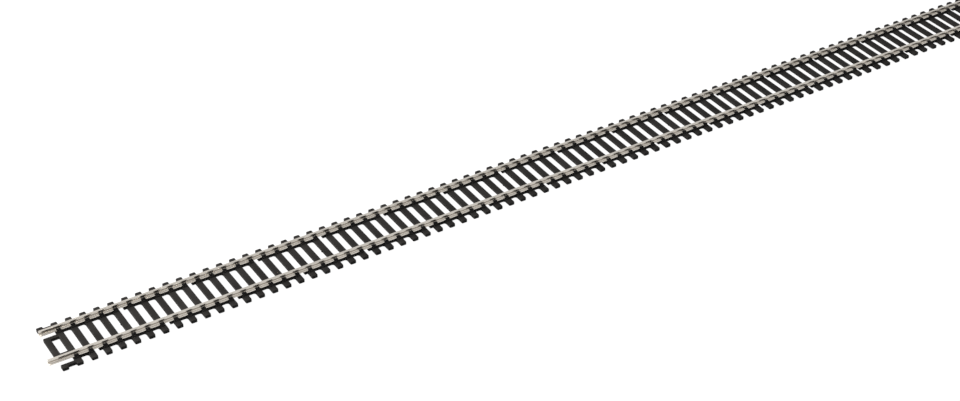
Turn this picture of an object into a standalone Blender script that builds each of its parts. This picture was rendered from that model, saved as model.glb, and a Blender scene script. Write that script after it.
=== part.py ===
"""Semi-flexible model railway track section: two flat-bottomed rails that slide in one moulded sleeper base.

Metres, +Z up. +X runs along the track, +Y across it, and the sleepers stand on z = 0. The origin is under
the middle of the overall length, on the centreline between the rails.
"""

import math

import bmesh
import bpy
from mathutils import Euler, Matrix

MM = 0.001

# Driving dimensions of the moulded base.
BASE_LENGTH = 970.0 * MM
FULL_SLEEPERS = 167
SLEEPER_WIDTH = 2.5 * MM
SLEEPER_LENGTH = 27.4 * MM
SLEEPER_THICKNESS = 1.35 * MM

# Low webs that join the sleepers under each rail. Each web run carries five sleepers.
SLEEPERS_PER_RUN = 5
FIRST_RUN_FAR = 5
FIRST_RUN_NEAR = 2
WEB_WIDTH = 2.1 * MM
WEB_BOTTOM = 0.1 * MM
WEB_TOP = 1.0 * MM
WEB_STUB = 1.25 * MM

# Frame at each end of the base. It leaves room for a joiner around both rail ends.
END_BAR_HALF = 6.4 * MM
END_HOLE_HALF = 4.75 * MM
STUB_INNER = 11.2 * MM
STUB_ARM_OUTER = 12.6 * MM

# Flat-bottomed rail.
GAUGE = 16.5 * MM
RAIL_LENGTH = BASE_LENGTH
RAIL_HEIGHT = 2.11 * MM
RAIL_SEAT_GAP = 0.2 * MM
HEAD_WIDTH = 0.95 * MM
HEAD_DEPTH = 0.7 * MM
HEAD_CORNER = 0.15 * MM
WEB_THICKNESS = 0.5 * MM
FOOT_WIDTH = 2.0 * MM
FOOT_EDGE = 0.28 * MM
FOOT_ROOT = 0.5 * MM
CORNER_STEPS = 3

# How far each rail stands from flush with the base. Both are slid towards -X, the near one further.
NEAR_RAIL_SLIDE = -3.7 * MM
FAR_RAIL_SLIDE = -0.5 * MM

# Worked out from the dimensions above.
LAST_INDEX = FULL_SLEEPERS + 1
PITCH = (BASE_LENGTH - SLEEPER_WIDTH) / LAST_INDEX
RAIL_Y = GAUGE / 2 + HEAD_WIDTH / 2
RAIL_BOTTOM = SLEEPER_THICKNESS + RAIL_SEAT_GAP
BASE_CENTRE_X = -min(NEAR_RAIL_SLIDE, FAR_RAIL_SLIDE) / 2


def sleeper_x(index):
    """Centre of a sleeper along the track. Index 0 and LAST_INDEX are the end bars."""
    return BASE_CENTRE_X + (index - LAST_INDEX / 2) * PITCH


def clear_scene():
    for obj in list(bpy.data.objects):
        bpy.data.objects.remove(obj, do_unlink=True)


def new_collection(name):
    collection = bpy.data.collections.new(name)
    bpy.context.scene.collection.children.link(collection)
    return collection


def new_material(name, colour, roughness, metallic):
    material = bpy.data.materials.new(name)
    material.use_nodes = True
    shader = material.node_tree.nodes["Principled BSDF"]
    shader.inputs["Base Color"].default_value = (*colour, 1.0)
    shader.inputs["Roughness"].default_value = roughness
    shader.inputs["Metallic"].default_value = metallic
    return material


def outline_curve(name, loops, half_thickness):
    """Filled flat curve of closed outlines, extruded both ways. Outlines inside the first are holes."""
    curve = bpy.data.curves.new(name, "CURVE")
    curve.dimensions = "2D"
    curve.fill_mode = "BOTH"
    curve.extrude = half_thickness
    for loop in loops:
        spline = curve.splines.new("POLY")
        spline.points.add(len(loop) - 1)
        for point, (x, y) in zip(spline.points, loop):
            point.co = (x, y, 0.0, 1.0)
        spline.use_cyclic_u = True
    return curve


def curve_to_mesh(curve):
    """Closed mesh of a curve, with its loose caps welded on."""
    holder = bpy.data.objects.new(curve.name + "_outline", curve)
    bpy.context.scene.collection.objects.link(holder)
    bpy.context.view_layer.update()
    evaluated = holder.evaluated_get(bpy.context.evaluated_depsgraph_get())
    mesh = bpy.data.meshes.new_from_object(evaluated)
    bpy.data.objects.remove(holder, do_unlink=True)
    bm = bmesh.new()
    bm.from_mesh(mesh)
    bmesh.ops.remove_doubles(bm, verts=bm.verts, dist=0.001 * MM)
    bm.to_mesh(mesh)
    bm.free()
    return mesh


def add_box(bm, low, high):
    centre = [(a + b) / 2 for a, b in zip(low, high)]
    size = [b - a for a, b in zip(low, high)]
    placing = Matrix.Translation(centre) @ Matrix.Diagonal((*size, 1.0))
    bmesh.ops.create_cube(bm, size=1.0, matrix=placing)


def end_frame_mesh():
    """End bar, its two arms, the two sleeper-end stubs and the first full sleeper, as one plate.

    The end bar's centre is at x = 0 and the full sleeper's at x = PITCH.
    """
    half_width = SLEEPER_WIDTH / 2
    half_length = SLEEPER_LENGTH / 2
    outer = -half_width
    sleeper_outer = PITCH - half_width
    sleeper_inner = PITCH + half_width
    upper = [
        (outer, END_BAR_HALF),
        (sleeper_outer, END_BAR_HALF),
        (sleeper_outer, STUB_INNER),
        (outer, STUB_INNER),
        (outer, half_length),
        (half_width, half_length),
        (half_width, STUB_ARM_OUTER),
        (sleeper_outer, STUB_ARM_OUTER),
        (sleeper_outer, half_length),
        (sleeper_inner, half_length),
    ]
    outline = upper + [(x, -y) for x, y in reversed(upper)]
    hole = [
        (half_width, -END_HOLE_HALF),
        (half_width, END_HOLE_HALF),
        (sleeper_outer, END_HOLE_HALF),
        (sleeper_outer, -END_HOLE_HALF),
    ]
    return curve_to_mesh(outline_curve("end_frame", [outline, hole], SLEEPER_THICKNESS / 2))


def sleepers_mesh():
    """Both end frames and every full sleeper between them, not yet joined to each other."""
    bm = bmesh.new()
    frame = end_frame_mesh()
    lift = SLEEPER_THICKNESS / 2
    for index, turn in ((0, 0.0), (LAST_INDEX, math.pi)):
        placing = Matrix.Translation((sleeper_x(index), 0.0, lift)) @ Matrix.Rotation(turn, 4, "Z")
        copy = frame.copy()
        copy.transform(placing)
        bm.from_mesh(copy)
        bpy.data.meshes.remove(copy)
    bpy.data.meshes.remove(frame)
    for index in range(2, LAST_INDEX - 1):
        x = sleeper_x(index)
        low = (x - SLEEPER_WIDTH / 2, -SLEEPER_LENGTH / 2, 0.0)
        high = (x + SLEEPER_WIDTH / 2, SLEEPER_LENGTH / 2, SLEEPER_THICKNESS)
        add_box(bm, low, high)
    mesh = bpy.data.meshes.new("sleepers")
    bm.to_mesh(mesh)
    bm.free()
    return mesh


def web_runs(first_run):
    """First and last sleeper of each run, where the first run ends at sleeper first_run."""
    runs = [(1, first_run)]
    while runs[-1][1] < FULL_SLEEPERS:
        start = runs[-1][1] + 1
        runs.append((start, min(start + SLEEPERS_PER_RUN - 1, FULL_SLEEPERS)))
    return runs


def webs_mesh():
    """The web runs under both rails. Each run but the first starts with a stub that points towards -X."""
    bm = bmesh.new()
    for side, first_run in ((1, FIRST_RUN_FAR), (-1, FIRST_RUN_NEAR)):
        inner = side * RAIL_Y - WEB_WIDTH / 2
        outer = side * RAIL_Y + WEB_WIDTH / 2
        for start, end in web_runs(first_run):
            low_x = sleeper_x(start)
            if start > 1:
                low_x -= SLEEPER_WIDTH / 2 + WEB_STUB
            add_box(bm, (low_x, inner, WEB_BOTTOM), (sleeper_x(end), outer, WEB_TOP))
    mesh = bpy.data.meshes.new("webs")
    bm.to_mesh(mesh)
    bm.free()
    return mesh


def rail_section():
    """Closed outline of the rail's section, foot at y = 0, with rounded upper corners on the head."""
    half_head = HEAD_WIDTH / 2
    half_web = WEB_THICKNESS / 2
    half_foot = FOOT_WIDTH / 2
    head_under = RAIL_HEIGHT - HEAD_DEPTH
    right = [
        (half_foot, 0.0),
        (half_foot, FOOT_EDGE),
        (half_web, FOOT_ROOT),
        (half_web, head_under - (half_head - half_web)),
        (half_head, head_under),
    ]
    for step in range(CORNER_STEPS + 1):
        angle = math.pi / 2 * step / CORNER_STEPS
        x = half_head - HEAD_CORNER + HEAD_CORNER * math.cos(angle)
        y = RAIL_HEIGHT - HEAD_CORNER + HEAD_CORNER * math.sin(angle)
        right.append((x, y))
    return right + [(-x, y) for x, y in reversed(right)]


def make_base(collection, joining, material):
    base = bpy.data.objects.new("sleeper_base", sleepers_mesh())
    base.data.materials.append(material)
    collection.objects.link(base)
    webs = bpy.data.objects.new("web_runs", webs_mesh())
    webs.hide_render = True
    webs.display_type = "WIRE"
    joining.objects.link(webs)
    union = base.modifiers.new("join_webs", "BOOLEAN")
    union.operation = "UNION"
    union.solver = "EXACT"
    union.object = webs
    return base


def make_rail(collection, name, side, slide, material):
    """Rail drawn as its section, which is stood up across the track and extruded along it."""
    rail = bpy.data.objects.new(name, outline_curve(name, [rail_section()], RAIL_LENGTH / 2))
    rail.data.materials.append(material)
    rail.location = (BASE_CENTRE_X + slide, side * RAIL_Y, RAIL_BOTTOM)
    rail.rotation_euler = Euler((math.pi / 2, 0.0, math.pi / 2))
    collection.objects.link(rail)
    return rail


def main():
    clear_scene()
    track = new_collection("model_track_section")
    joining = new_collection("joining_shapes")
    plastic = new_material("sleeper_plastic", (0.030, 0.027, 0.025), 0.55, 0.0)
    nickel_silver = new_material("nickel_silver", (0.58, 0.54, 0.48), 0.32, 1.0)
    make_base(track, joining, plastic)
    make_rail(track, "near_rail", -1, NEAR_RAIL_SLIDE, nickel_silver)
    make_rail(track, "far_rail", 1, FAR_RAIL_SLIDE, nickel_silver)


main()
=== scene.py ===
import math

import bmesh
import bpy
from mathutils import Euler, Matrix, Vector


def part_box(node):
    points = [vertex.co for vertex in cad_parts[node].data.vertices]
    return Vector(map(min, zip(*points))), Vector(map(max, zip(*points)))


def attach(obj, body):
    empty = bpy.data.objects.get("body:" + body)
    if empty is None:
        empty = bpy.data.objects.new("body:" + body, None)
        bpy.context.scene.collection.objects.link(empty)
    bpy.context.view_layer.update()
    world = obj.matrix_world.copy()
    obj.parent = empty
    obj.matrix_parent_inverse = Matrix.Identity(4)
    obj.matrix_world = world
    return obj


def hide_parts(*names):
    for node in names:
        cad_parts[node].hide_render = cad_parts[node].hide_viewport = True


# Looks of a semi-flexible model railway track section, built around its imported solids.
# Metres, +Z up. +X runs along the track, +Y across it, and the sleepers stand on z = 0.

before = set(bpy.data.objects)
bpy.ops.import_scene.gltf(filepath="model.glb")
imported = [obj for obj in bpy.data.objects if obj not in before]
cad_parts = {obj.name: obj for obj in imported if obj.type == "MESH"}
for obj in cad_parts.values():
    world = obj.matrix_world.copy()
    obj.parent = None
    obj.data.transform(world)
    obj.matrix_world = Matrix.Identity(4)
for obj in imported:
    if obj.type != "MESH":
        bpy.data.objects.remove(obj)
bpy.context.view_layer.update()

MM = 0.001
WELD = 1e-7
WHITE = (1.0, 1.0, 1.0)

# Places and sizes that come from the solids.
RAIL_NODES = ("near_rail", "far_rail")
RAIL_BOXES = {node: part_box(node) for node in RAIL_NODES}
FAR_LOW, FAR_HIGH = RAIL_BOXES["far_rail"]
BASE_LOW, BASE_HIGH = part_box("sleeper_base")
SLEEPER_LENGTH = BASE_HIGH.y - BASE_LOW.y
SLEEPER_TOP = BASE_HIGH.z
BASE_CENTRE_X = (BASE_LOW.x + BASE_HIGH.x) / 2
RAIL_BOTTOM = FAR_LOW.z
RAIL_TOP = FAR_HIGH.z
RAIL_Y = (FAR_LOW.y + FAR_HIGH.y) / 2
RAIL_LENGTH = FAR_HIGH.x - FAR_LOW.x
FOOT_WIDTH = FAR_HIGH.y - FAR_LOW.y

# The base's own plan, as the solids have it.
FULL_SLEEPERS = 167
LAST_INDEX = FULL_SLEEPERS + 1
SLEEPER_WIDTH = 2.5 * MM
PITCH = (BASE_HIGH.x - BASE_LOW.x - SLEEPER_WIDTH) / LAST_INDEX
SLEEPERS_PER_RUN = 5
FIRST_RUN_FAR = 5
FIRST_RUN_NEAR = 2
WEB_WIDTH = 2.1 * MM
WEB_BOTTOM = 0.1 * MM
WEB_TOP = 1.0 * MM
WEB_STUB = 1.25 * MM
END_BAR_HALF = 6.4 * MM
END_HOLE_HALF = 4.75 * MM
STUB_INNER = 11.2 * MM
STUB_ARM_OUTER = 12.6 * MM

# Moulded edges of the base. A part that joins another is sunk into it, so that the union is clean.
SLEEPER_CORNER = 0.45 * MM
HOLE_CORNER = 0.3 * MM
EDGE_ROUND = 0.12 * MM
WEB_FILLET = 0.85 * MM
WEB_FILLET_STEPS = 3
WEB_SINK = 0.3 * MM
STUB_CORNER = 0.25 * MM

# Tie plate that each rail rests on.
SEAT_LENGTH = 2.1 * MM
SEAT_WIDTH = 4.0 * MM
SEAT_HEIGHT = 0.12 * MM
SEAT_CORNER = 0.2 * MM
SEAT_SINK = 0.2 * MM

# Chair that hooks over one side of the rail foot. Its back leans in from the flange up to the lip, which
# thins to CHAIR_LIP_TIP of its thickness.
CHAIR_LENGTH = 1.8 * MM
CHAIR_CLEARANCE = 0.05 * MM
CHAIR_REACH = 0.85 * MM
CHAIR_LIP = 0.62 * MM
CHAIR_LIP_TIP = 0.8
CHAIR_FLANGE = 0.3 * MM
CHAIR_THICKNESS = 0.2 * MM
CHAIR_BACK_OUT = 0.24 * MM
CHAIR_BACK_RISE = 0.04 * MM
CHAIR_BACK_IN = 0.14 * MM
CHAIR_ROUND = 0.04 * MM
CHAIR_SINK = 0.1 * MM

# Spike heads, two on each chair's flange, at SPIKE_REACH of the way out along it.
SPIKE_RADIUS = 0.24 * MM
SPIKE_TAPER = 0.75
SPIKE_RISE = 0.14 * MM
SPIKE_SINK = 0.05 * MM
SPIKE_SPACING = 1.0 * MM
SPIKE_REACH = 0.68

# Moulding nib on every fifteenth sleeper.
NIB_RADIUS = 0.4 * MM
NIB_CORNER = 0.2 * MM
NIB_DROP = 0.3 * MM
NIB_FIRST = 5
NIB_EVERY = 15

# Rail section, measured up from the rail's underside.
RAIL_HEIGHT = RAIL_TOP - RAIL_BOTTOM
HEAD_WIDTH = 0.95 * MM
HEAD_DEPTH = 0.7 * MM
HEAD_CORNER = 0.16 * MM
HEAD_LOWER_CORNER = 0.06 * MM
RAIL_WEB = 0.5 * MM
ROOT_FILLET = 0.2 * MM
FOOT_EDGE = 0.28 * MM
FOOT_ROOT = 0.5 * MM
FOOT_UPPER_CORNER = 0.12 * MM
FOOT_LOWER_CORNER = 0.05 * MM
RAIL_END_ROUND = 0.03 * MM

# A corner's arc takes up at most this share of each edge beside it.
ARC_SHARE = 0.45

# Edges that turn by more than this are shaded sharp.
SHARP_ANGLE = math.radians(35)

# Turns a plate so that its outline stands up across the track and its thickness runs along it.
STAND = Matrix(((0, 0, 1, 0), (1, 0, 0, 0), (0, 1, 0, 0), (0, 0, 0, 1)))

# Range of a noise over which two tones blend.
BLEND_FROM = 0.35
BLEND_TO = 0.65

# Plastic of the base.
PLASTIC_DARK = (0.0090, 0.0087, 0.0085)
PLASTIC_LIGHT = (0.0130, 0.0126, 0.0123)
PLASTIC_SMOOTH = 0.42
PLASTIC_ROUGH = 0.6
PLASTIC_SPECULAR = 0.02

# Metal of the rails, before its painted light and shade.
METAL_DARK = (0.54, 0.505, 0.455)
METAL_LIGHT = (0.62, 0.585, 0.53)

# Painted light and shade on the metal, with a warm patina tint, as (share of the rail's height, brightness,
# warmth). The dark band under the head is painted shade, and the brighter foot and lower web are a painted
# reflection of the floor.
RAIL_PAINTED_SHADE_AND_PATINA = [
    (0.0, 1.12, 0.0),
    (0.3, 1.12, 0.0),
    (0.42, 0.8, 0.08),
    (0.6, 0.5, 0.15),
    (0.67, 0.5, 0.1),
    (0.78, 0.98, 0.0),
    (1.0, 1.0, 0.0),
]

# The sides' roughness gives way to the polished head's between these two shares of the height.
SIDE_ROUGHNESS = 0.42
HEAD_ROUGHNESS = 0.2
POLISH_FROM = 0.6
POLISH_TO = 0.75

# Studio. The floor lies just under the sleepers and glows, so that it stays a plain pale ground.
FLOOR_SIZE = 12.0
FLOOR_DROP = 0.02 * MM
FLOOR_TONE = (0.04, 0.04, 0.04)
FLOOR_ROUGHNESS = 0.9
FLOOR_GLOW = 0.97
WORLD_LEVEL = 0.95

# Softboxes, as (name, place, target, diameter, colour, watts).
SOFTBOXES = [
    ("key_softbox", (-0.85, 0.3, 0.4), (-0.36, 0.0, 0.0), 0.4, (1.0, 0.95, 0.9), 18.0),
    ("back_softbox", (-2.0, 1.0, 1.6), (0.0, 0.0, 0.0), 1.8, WHITE, 2.0),
]

# Camera, measured from the middle of the end bar at the track's -X end. Lens and sensor in millimetres.
CAMERA_OFFSET = Vector((-0.14809, -0.53610, 0.45128))
CAMERA_YAW = math.radians(32.136)
CAMERA_PITCH = math.radians(35.67)
CAMERA_LENS = 69.8
CAMERA_SENSOR = 36.0
CAMERA_NEAR = 0.01


def sleeper_x(index):
    """Centre of a sleeper along the track. Index 0 and LAST_INDEX are the end bars."""
    return BASE_CENTRE_X + (index - LAST_INDEX / 2) * PITCH


# ---------------------------------------------------------------- mesh helpers


def rectangle(low_x, low_y, high_x, high_y):
    return [(low_x, low_y), (high_x, low_y), (high_x, high_y), (low_x, high_y)]


def round_each(corners, steps=4):
    """Outline of (point, radius) corners. Each becomes a smooth arc that starts at most radius away."""
    result = []
    count = len(corners)
    for index, (point, radius) in enumerate(corners):
        corner = Vector(point)
        if radius == 0.0:
            result.append(corner)
            continue
        before = Vector(corners[index - 1][0]) - corner
        after = Vector(corners[(index + 1) % count][0]) - corner
        start = corner + before.normalized() * min(radius, before.length * ARC_SHARE)
        end = corner + after.normalized() * min(radius, after.length * ARC_SHARE)
        for step in range(steps + 1):
            t = step / steps
            result.append(start * (1 - t) ** 2 + corner * 2 * t * (1 - t) + end * t * t)
    return result


def rounded(outline, radius, steps=4):
    """The outline with the same rounding at every corner."""
    return round_each([(point, radius) for point in outline], steps)


def plate(name, loops, low, high, edge=0.0, edge_steps=0):
    """Closed mesh of flat outlines, from height low to height high, with rounded rims of radius edge."""
    curve = bpy.data.curves.new(name, "CURVE")
    curve.dimensions = "2D"
    curve.fill_mode = "BOTH"
    curve.extrude = (high - low) / 2 - edge
    curve.bevel_depth = edge
    curve.bevel_resolution = edge_steps
    curve.offset = -edge
    for loop in loops:
        spline = curve.splines.new("POLY")
        spline.points.add(len(loop) - 1)
        for target, (x, y) in zip(spline.points, loop):
            target.co = (x, y, 0.0, 1.0)
        spline.use_cyclic_u = True
    holder = bpy.data.objects.new(name, curve)
    bpy.context.scene.collection.objects.link(holder)
    mesh = evaluated_mesh(holder)
    bpy.data.objects.remove(holder, do_unlink=True)
    bpy.data.curves.remove(curve)
    bm = bmesh.new()
    bm.from_mesh(mesh)
    bmesh.ops.remove_doubles(bm, verts=bm.verts, dist=WELD)
    bmesh.ops.translate(bm, verts=bm.verts, vec=(0.0, 0.0, (low + high) / 2))
    bmesh.ops.recalc_face_normals(bm, faces=bm.faces)
    bm.to_mesh(mesh)
    bm.free()
    return mesh


def evaluated_mesh(holder):
    """The object's mesh, with its modifiers applied."""
    bpy.context.view_layer.update()
    return bpy.data.meshes.new_from_object(holder.evaluated_get(bpy.context.evaluated_depsgraph_get()))


def joined(name, meshes):
    """One mesh of several, side by side and not united."""
    bm = bmesh.new()
    for mesh in meshes:
        bm.from_mesh(mesh)
    result = bpy.data.meshes.new(name)
    bm.to_mesh(result)
    bm.free()
    return result


def united(name, first, others):
    """Boolean union of closed meshes into one closed mesh."""
    body = bpy.data.objects.new(name, first)
    tool = bpy.data.objects.new(name + "_tool", joined(name + "_tool", others))
    for obj in (body, tool):
        bpy.context.scene.collection.objects.link(obj)
    union = body.modifiers.new("union", "BOOLEAN")
    union.operation = "UNION"
    union.solver = "EXACT"
    union.use_self = True
    union.object = tool
    mesh = evaluated_mesh(body)
    for obj in (body, tool):
        bpy.data.objects.remove(obj, do_unlink=True)
    return mesh


def new_piece(name, mesh, material, body, node):
    piece = bpy.data.objects.new(name, mesh)
    bpy.context.scene.collection.objects.link(piece)
    mesh.materials.clear()
    mesh.materials.append(material)
    mesh.shade_smooth()
    mesh.set_sharp_from_angle(angle=SHARP_ANGLE)
    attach(piece, body)
    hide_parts(node)
    return piece


# ---------------------------------------------------------------- sleeper base


def sleeper_mesh():
    half_width = SLEEPER_WIDTH / 2
    half_length = SLEEPER_LENGTH / 2
    outline = rounded(rectangle(-half_width, -half_length, half_width, half_length), SLEEPER_CORNER, steps=2)
    return plate("sleeper", [outline], 0.0, SLEEPER_TOP, EDGE_ROUND, edge_steps=1)


def end_frame_mesh():
    """End bar at x = 0 with its arms and sleeper-end stubs, and the first full sleeper at x = PITCH."""
    half_width = SLEEPER_WIDTH / 2
    half_length = SLEEPER_LENGTH / 2
    sleeper_outer = PITCH - half_width
    sleeper_inner = PITCH + half_width
    upper = [
        (-half_width, END_BAR_HALF),
        (sleeper_outer, END_BAR_HALF),
        (sleeper_outer, STUB_INNER),
        (-half_width, STUB_INNER),
        (-half_width, half_length),
        (half_width, half_length),
        (half_width, STUB_ARM_OUTER),
        (sleeper_outer, STUB_ARM_OUTER),
        (sleeper_outer, half_length),
        (sleeper_inner, half_length),
    ]
    outline = upper + [(x, -y) for x, y in reversed(upper)]
    hole = rectangle(half_width, -END_HOLE_HALF, sleeper_outer, END_HOLE_HALF)
    loops = [rounded(outline, SLEEPER_CORNER), rounded(hole, HOLE_CORNER)]
    return plate("end_frame", loops, 0.0, SLEEPER_TOP, EDGE_ROUND, edge_steps=1)


def half_web_mesh(side, towards):
    """Web under one rail, from inside the sleeper to half-way to its neighbour, flared where it starts."""
    face = SLEEPER_WIDTH / 2
    edge = [(face - WEB_SINK, WEB_WIDTH / 2 + WEB_FILLET)]
    for step in range(WEB_FILLET_STEPS + 1):
        angle = math.pi / 2 * step / WEB_FILLET_STEPS
        x = face + WEB_FILLET * (1 - math.cos(angle))
        edge.append((x, WEB_WIDTH / 2 + WEB_FILLET * (1 - math.sin(angle))))
    edge.append((PITCH / 2, WEB_WIDTH / 2))
    outline = edge + [(x, -y) for x, y in reversed(edge)]
    outline = [(towards * x, side * RAIL_Y + y) for x, y in outline]
    return plate("half_web", [outline], WEB_BOTTOM, WEB_TOP)


def web_stub_mesh(side):
    """Short end of a broken web, on the sleeper's -X side."""
    face = -SLEEPER_WIDTH / 2
    outline = rectangle(face - WEB_STUB, -WEB_WIDTH / 2, face + WEB_SINK, WEB_WIDTH / 2)
    outline = [(p.x, side * RAIL_Y + p.y) for p in rounded(outline, STUB_CORNER, steps=3)]
    return plate("web_stub", [outline], WEB_BOTTOM, WEB_TOP, EDGE_ROUND / 2, edge_steps=1)


def seat_mesh(side):
    """Low moulded tie plate under one rail."""
    outline = rectangle(-SEAT_LENGTH / 2, -SEAT_WIDTH / 2, SEAT_LENGTH / 2, SEAT_WIDTH / 2)
    outline = [(p.x, side * RAIL_Y + p.y) for p in rounded(outline, SEAT_CORNER, steps=1)]
    return plate("seat", [outline], SLEEPER_TOP - SEAT_SINK, SLEEPER_TOP + SEAT_HEIGHT)


def chair_mesh(side, outward):
    """Clip that hooks over the rail foot. It is drawn as its section across the track, and runs along it."""
    foot = FOOT_WIDTH / 2 + CHAIR_CLEARANCE
    slope = (FOOT_ROOT - FOOT_EDGE) / (FOOT_WIDTH / 2 - RAIL_WEB / 2)
    lip = foot - CHAIR_LIP
    base = SLEEPER_TOP - CHAIR_SINK
    flange = SLEEPER_TOP + CHAIR_FLANGE
    under = RAIL_BOTTOM + FOOT_EDGE + CHAIR_CLEARANCE
    lip_under = under + slope * CHAIR_LIP
    section = [
        ((foot + CHAIR_REACH, base), 0.0),
        ((foot + CHAIR_REACH, flange), CHAIR_ROUND),
        ((foot + CHAIR_BACK_OUT, flange + CHAIR_BACK_RISE), 0.0),
        ((foot + CHAIR_BACK_IN, under + CHAIR_THICKNESS), CHAIR_ROUND),
        ((lip, lip_under + CHAIR_THICKNESS * CHAIR_LIP_TIP), CHAIR_ROUND),
        ((lip, lip_under), CHAIR_ROUND),
        ((foot, under), 0.0),
        ((foot, base), 0.0),
    ]
    outline = round_each(section, steps=1)
    mesh = plate("chair", [outline], -CHAIR_LENGTH / 2, CHAIR_LENGTH / 2, CHAIR_ROUND)
    mirror = Matrix.Diagonal((1, outward, 1, 1))
    mesh.transform(Matrix.Translation((0, side * RAIL_Y, 0)) @ mirror @ STAND)
    if outward < 0:
        mesh.flip_normals()
    return mesh


def spike_mesh(x, y):
    """Square spike head that stands on a chair's flange."""
    low = SLEEPER_TOP + CHAIR_FLANGE - SPIKE_SINK
    high = SLEEPER_TOP + CHAIR_FLANGE + SPIKE_RISE
    placing = Matrix.Translation((x, y, (low + high) / 2)) @ Matrix.Rotation(math.pi / 4, 4, "Z")
    bm = bmesh.new()
    bmesh.ops.create_cone(
        bm,
        cap_ends=True,
        segments=4,
        radius1=SPIKE_RADIUS,
        radius2=SPIKE_RADIUS * SPIKE_TAPER,
        depth=high - low,
        matrix=placing,
    )
    mesh = bpy.data.meshes.new("spike")
    bm.to_mesh(mesh)
    bm.free()
    return mesh


def nib_mesh():
    """Small half-round moulding mark at mid-length of a sleeper, on its -X side."""
    face = -SLEEPER_WIDTH / 2
    outline = rectangle(face - NIB_RADIUS / 2, -NIB_RADIUS, face + WEB_SINK, NIB_RADIUS)
    outline = rounded(outline, NIB_CORNER, steps=3)
    return plate("nib", [outline], WEB_BOTTOM, SLEEPER_TOP - NIB_DROP)


def fittings():
    """The seats, chairs and spike heads of one sleeper, for both rails."""
    parts = []
    spike_out = FOOT_WIDTH / 2 + CHAIR_CLEARANCE + CHAIR_REACH * SPIKE_REACH
    for side in (1, -1):
        parts.append(seat_mesh(side))
        for outward in (1, -1):
            parts.append(chair_mesh(side, outward))
            for along in (1, -1):
                parts.append(spike_mesh(along * SPIKE_SPACING / 2, side * RAIL_Y + outward * spike_out))
    return parts


def end_side(index):
    """-1 or 1 for the first and last full sleeper, which an end frame joins on that side, otherwise 0."""
    if index == 1:
        return -1
    if index == FULL_SLEEPERS:
        return 1
    return 0


def web_state(index):
    """For each rail, its side of the track and what its web does on a sleeper's -X and +X sides."""
    state = []
    for side, first_run in ((1, FIRST_RUN_FAR), (-1, FIRST_RUN_NEAR)):
        place = (index - first_run) % SLEEPERS_PER_RUN
        before = "stub" if place == 1 else "web"
        after = "gap" if place == 0 else "web"
        if end_side(index) < 0:
            before = "end"
        if end_side(index) > 0:
            after = "end"
        state.append((side, before, after))
    return tuple(state)


def open_at_cuts(mesh):
    """Removes the faces where the half webs were cut, so that neighbouring bays weld into one skin."""
    bm = bmesh.new()
    bm.from_mesh(mesh)
    cut = PITCH / 2
    caps = [face for face in bm.faces if all(abs(abs(v.co.x) - cut) < WELD for v in face.verts)]
    bmesh.ops.delete(bm, geom=caps, context="FACES")
    bm.to_mesh(mesh)
    bm.free()


def bay_mesh(state, nib, end):
    """One sleeper at x = 0 with its chairs and half of each web, and its end frame where it has one."""
    if end:
        body = end_frame_mesh()
        body.transform(Matrix.Translation((-PITCH, 0, 0)))
        if end > 0:
            body.transform(Matrix.Rotation(math.pi, 4, "Z"))
    else:
        body = sleeper_mesh()
    others = fittings()
    for side, before, after in state:
        if before == "web":
            others.append(half_web_mesh(side, -1))
        elif before == "stub":
            others.append(web_stub_mesh(side))
        if after == "web":
            others.append(half_web_mesh(side, 1))
    if nib:
        others.append(nib_mesh())
    mesh = united("bay", body, others)
    open_at_cuts(mesh)
    return mesh


def base_mesh():
    """The whole moulding. Each kind of bay is made once and copied to its places."""
    made = {}
    bm = bmesh.new()
    for index in range(1, LAST_INDEX):
        nib = index % NIB_EVERY == NIB_FIRST
        kind = (web_state(index), nib, end_side(index))
        if kind not in made:
            made[kind] = bay_mesh(*kind)
        copy = made[kind].copy()
        copy.transform(Matrix.Translation((sleeper_x(index), 0, 0)))
        bm.from_mesh(copy)
        bpy.data.meshes.remove(copy)
    bmesh.ops.remove_doubles(bm, verts=bm.verts, dist=WELD * 10)
    mesh = bpy.data.meshes.new("sleeper_moulding")
    bm.to_mesh(mesh)
    bm.free()
    return mesh


# ---------------------------------------------------------------- rails


def rail_section():
    """Closed outline of the rail's section with rounded head corners and root fillets, foot at y = 0."""
    half_head = HEAD_WIDTH / 2
    half_web = RAIL_WEB / 2
    half_foot = FOOT_WIDTH / 2
    head_under = RAIL_HEIGHT - HEAD_DEPTH
    corners = [
        ((half_foot, 0.0), FOOT_LOWER_CORNER),
        ((half_foot, FOOT_EDGE), FOOT_UPPER_CORNER),
        ((half_web, FOOT_ROOT), ROOT_FILLET),
        ((half_web, head_under - (half_head - half_web)), ROOT_FILLET),
        ((half_head, head_under), HEAD_LOWER_CORNER),
        ((half_head, RAIL_HEIGHT), HEAD_CORNER),
    ]
    mirrored = [((-x, y), radius) for (x, y), radius in reversed(corners)]
    return round_each(corners + mirrored)


def rail_mesh(name, node):
    low, high = RAIL_BOXES[node]
    centre = (low + high) / 2
    half = RAIL_LENGTH / 2
    mesh = plate(name, [rail_section()], -half, half, RAIL_END_ROUND, edge_steps=1)
    mesh.transform(Matrix.Translation((centre.x, centre.y, low.z)) @ STAND)
    return mesh


# ---------------------------------------------------------------- materials


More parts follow.
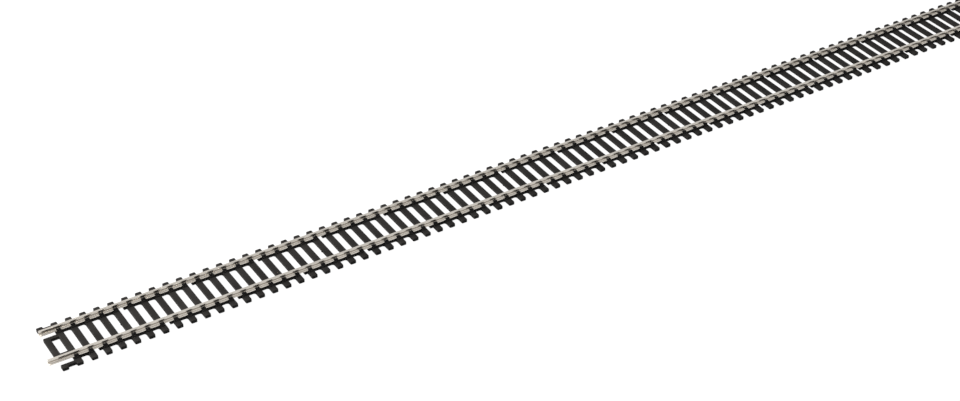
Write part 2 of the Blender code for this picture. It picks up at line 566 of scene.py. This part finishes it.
class Nodes:
    """Short way to add and link shader nodes."""

    def __init__(self, name):
        self.material = bpy.data.materials.new(name)
        self.material.use_nodes = True
        self.tree = self.material.node_tree
        self.shader = self.tree.nodes["Principled BSDF"]

    def add(self, kind, settings=None, **inputs):
        node = self.tree.nodes.new("ShaderNode" + kind)
        for key, value in (settings or {}).items():
            setattr(node, key, value)
        for key, value in inputs.items():
            self.feed(node, key, value)
        return node

    def feed(self, node, key, value):
        """Links value to the input, or sets it where value is a plain number or colour."""
        socket = node.inputs[key]
        if isinstance(value, bpy.types.NodeSocket):
            self.tree.links.new(value, socket)
        else:
            socket.default_value = value

    def place(self):
        """Position in the piece, in metres."""
        return self.add("TexCoord").outputs["Object"]

    def noise(self, scale, detail, roughness=0.55):
        """Noise with so many cycles per metre along each axis."""
        place = self.add("Mapping", Vector=self.place(), Scale=scale).outputs["Vector"]
        node = self.add("TexNoise", Vector=place, Scale=1.0, Detail=detail, Roughness=roughness)
        return node.outputs["Fac"]

    def ramp(self, factor, stops):
        """Blend through the colours of the (position, colour) stops, which are in rising order."""
        node = self.add("ValToRGB", Fac=factor)
        elements = node.color_ramp.elements
        while len(elements) < len(stops):
            elements.new(1.0)
        for element, (position, colour) in zip(elements, stops):
            element.position = position
            element.color = (*colour, 1.0)
        return node.outputs["Color"]

    def mottle(self, noise, dark, light):
        return self.ramp(noise, [(BLEND_FROM, dark), (BLEND_TO, light)])

    def span(self, value, low, high, from_low=0.3, from_high=0.7):
        """Number that goes from low to high as value goes from from_low to from_high."""
        node = self.add("MapRange", Value=value)
        limits = {"From Min": from_low, "From Max": from_high, "To Min": low, "To Max": high}
        for key, number in limits.items():
            self.feed(node, key, number)
        return node.outputs["Result"]

    def bump(self, height, strength, distance):
        """Bump node, whose own Normal input another bump can feed."""
        return self.add("Bump", Height=height, Strength=strength, Distance=distance)


def sleeper_plastic():
    """Satin moulded plastic with a fine grain along the sleepers."""
    n = Nodes("sleeper_plastic")
    blotches = n.noise(scale=(90, 90, 90), detail=3.0)
    specks = n.noise(scale=(2500, 2500, 2500), detail=2.0)
    n.feed(n.shader, "Base Color", n.mottle(blotches, PLASTIC_DARK, PLASTIC_LIGHT))
    n.feed(n.shader, "Roughness", n.span(specks, PLASTIC_SMOOTH, PLASTIC_ROUGH))
    n.feed(n.shader, "Specular IOR Level", PLASTIC_SPECULAR)
    grain = n.bump(n.noise(scale=(5200, 260, 5200), detail=3.0), strength=0.5, distance=0.03 * MM)
    skin = n.bump(n.noise(scale=(4200, 4200, 4200), detail=2.0), strength=0.2, distance=0.01 * MM)
    n.feed(skin, "Normal", grain.outputs["Normal"])
    n.feed(n.shader, "Normal", skin.outputs["Normal"])
    return n.material


def rail_metal():
    """Drawn nickel silver: polished on the running surface, duller on the sides, with painted shade and a
    warm patina under the head, and a painted reflection on the foot.
    """
    n = Nodes("rail_metal")
    height = n.add("SeparateXYZ", Vector=n.place()).outputs["Z"]
    share = n.span(height, low=0.0, high=1.0, from_low=RAIL_BOTTOM, from_high=RAIL_TOP)
    # Painted shade under the head and painted reflection on the foot and lower web, set by height, with a
    # warm patina tint in the shade.
    painted_shade_stops = []
    for position, level, warmth in RAIL_PAINTED_SHADE_AND_PATINA:
        painted_shade_stops.append((position, (level, level * (1.0 - warmth / 2), level * (1.0 - warmth))))
    shade = n.ramp(share, painted_shade_stops)
    tone = n.mottle(n.noise(scale=(160, 900, 900), detail=4.0), METAL_DARK, METAL_LIGHT)
    settings = {"data_type": "RGBA", "blend_type": "MULTIPLY"}
    mixed = n.add("Mix", settings, Factor=1.0, A=tone, B=shade)
    n.feed(n.shader, "Base Color", mixed.outputs["Result"])
    n.feed(n.shader, "Metallic", 1.0)
    n.feed(n.shader, "Roughness", n.span(share, SIDE_ROUGHNESS, HEAD_ROUGHNESS, POLISH_FROM, POLISH_TO))
    drawn = n.bump(n.noise(scale=(40, 4000, 4000), detail=2.0), strength=0.02, distance=0.002 * MM)
    n.feed(n.shader, "Normal", drawn.outputs["Normal"])
    return n.material


# ---------------------------------------------------------------- studio


def floor_material():
    n = Nodes("studio_floor")
    n.feed(n.shader, "Base Color", (*FLOOR_TONE, 1.0))
    n.feed(n.shader, "Roughness", FLOOR_ROUGHNESS)
    n.feed(n.shader, "Specular IOR Level", 0.0)
    n.feed(n.shader, "Emission Color", (*WHITE, 1.0))
    n.feed(n.shader, "Emission Strength", FLOOR_GLOW)
    return n.material


def make_floor():
    bpy.ops.mesh.primitive_plane_add(size=FLOOR_SIZE, location=(0.0, 0.0, -FLOOR_DROP))
    floor = bpy.context.object
    floor.name = "studio_floor"
    floor.data.materials.append(floor_material())


def make_world():
    world = bpy.data.worlds.new("studio_world")
    world.use_nodes = True
    background = world.node_tree.nodes["Background"]
    background.inputs["Color"].default_value = (*WHITE, 1.0)
    background.inputs["Strength"].default_value = WORLD_LEVEL
    bpy.context.scene.world = world


def make_lights():
    for name, place, target, diameter, colour, watts in SOFTBOXES:
        light = bpy.data.lights.new(name, "AREA")
        light.shape = "DISK"
        light.size = diameter
        light.color = colour
        light.energy = watts
        lamp = bpy.data.objects.new(name, light)
        lamp.location = place
        lamp.rotation_euler = (Vector(target) - Vector(place)).to_track_quat("-Z", "Y").to_euler()
        bpy.context.scene.collection.objects.link(lamp)


def make_camera():
    lens = bpy.data.cameras.new("photo_camera")
    lens.lens = CAMERA_LENS
    lens.sensor_width = CAMERA_SENSOR
    lens.clip_start = CAMERA_NEAR
    camera = bpy.data.objects.new("photo_camera", lens)
    turn = Euler((0, 0, -CAMERA_YAW)).to_matrix()
    tilt = Euler((math.pi / 2 - CAMERA_PITCH, 0, 0)).to_matrix()
    spot = Vector((sleeper_x(0), 0.0, 0.0)) + CAMERA_OFFSET
    camera.matrix_world = Matrix.Translation(spot) @ (turn @ tilt).to_4x4()
    bpy.context.scene.collection.objects.link(camera)
    bpy.context.scene.camera = camera


# ---------------------------------------------------------------- assembly


def main():
    bpy.context.scene.view_settings.view_transform = "Standard"
    make_camera()
    make_world()
    make_lights()
    make_floor()
    plastic = sleeper_plastic()
    metal = rail_metal()
    new_piece("sleeper_moulding", base_mesh(), plastic, "sleeper_base", "sleeper_base")
    for node in RAIL_NODES:
        new_piece(node + "_bar", rail_mesh(node + "_bar", node), metal, node, node)


main()
